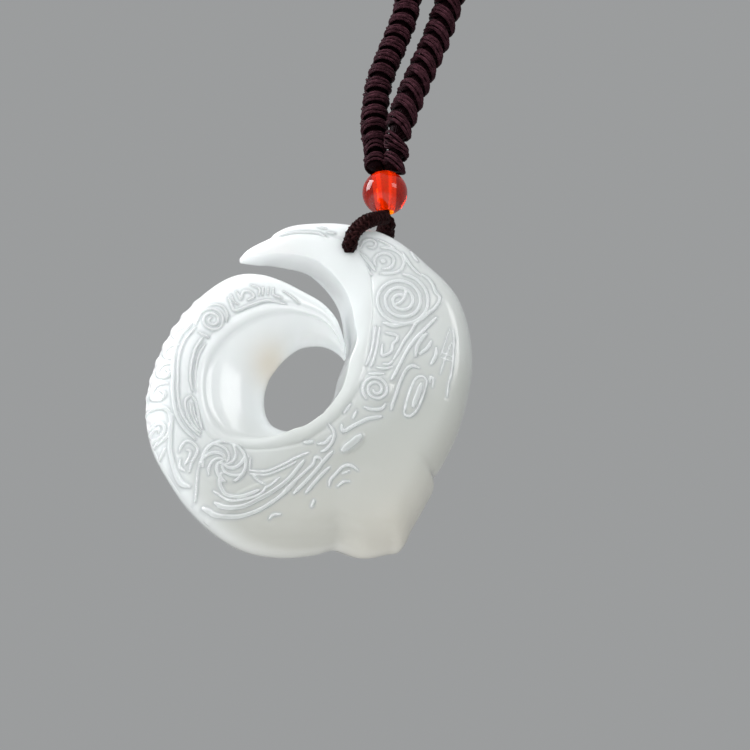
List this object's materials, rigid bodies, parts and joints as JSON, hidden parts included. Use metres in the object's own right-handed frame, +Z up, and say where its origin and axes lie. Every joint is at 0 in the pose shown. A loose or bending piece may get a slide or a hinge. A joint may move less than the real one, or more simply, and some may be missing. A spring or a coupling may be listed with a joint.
{
  "type": "jade pendant on a knotted cord necklace",
  "caption": "Coiled white jade pendant with carved relief, hung by a braided thread and a red bead from a knotted cord neck loop.",
  "frame": {"origin": "underside of the joining sleeve, where the cord loop bears on the back of the neck", "axes": "+Z up; the carved front of the pendant faces -Y; +X to the wearer's left as seen from the front"},
  "size_m": [0.1532, 0.0122, 0.2907],
  "materials": {
    "jade": "polished white nephrite",
    "agate": "polished red agate",
    "thread": "fine braided thread",
    "knotted_cord": "knotted waxed cord",
    "binding": "tightly wound thread"
  },
  "bodies": {
    "root": {"pendant_thread": "thread", "agate_bead": "agate", "cord_left": "knotted_cord", "cord_right": "knotted_cord", "nape_binding": "binding"},
    "pendant": {"jade_carving": "jade"}
  },
  "joints": [
    {"name": "pendant_swing", "type": "hinge", "parent": "root", "child": "pendant", "pos_m": [-0.00337, 0, -0.24016], "axis": [0, 1, 0], "range_deg": [-15, 15]}
  ]
}
